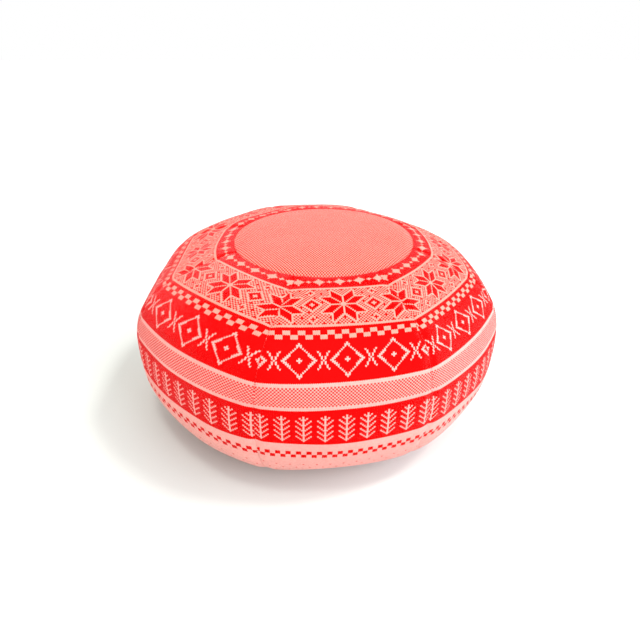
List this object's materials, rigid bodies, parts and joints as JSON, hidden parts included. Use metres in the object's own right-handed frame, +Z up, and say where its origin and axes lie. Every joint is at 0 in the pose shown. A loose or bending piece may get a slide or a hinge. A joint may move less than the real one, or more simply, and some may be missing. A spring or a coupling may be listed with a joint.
{
  "type": "pouf",
  "caption": "Round, firmly filled knitted pouf: a low seat or footrest with a domed round top panel, gored knitted sides and a flat base.",
  "frame": {"origin": "on the floor, under the middle of the pouf's box", "axes": "+Z up out of the top panel, the front of the picture faces -Y, +X is to its right"},
  "size_m": [0.4922, 0.4921, 0.258],
  "materials": {
    "top_knit": "fine birdseye jacquard knit, salmon pink from pale pink and red stitches",
    "side_knit": "fine two-colour jacquard knit in red and pale pink, matt, with a light fuzz",
    "base_knit": "fine plain knit in pale pink, matt"
  },
  "bodies": {
    "root": {"top_panel": "top_knit", "side_gore_1": "side_knit", "side_gore_2": "side_knit", "side_gore_3": "side_knit", "side_gore_4": "side_knit", "side_gore_5": "side_knit", "side_gore_6": "side_knit", "side_gore_7": "side_knit", "side_gore_8": "side_knit", "base_panel": "base_knit"}
  },
  "joints": []
}
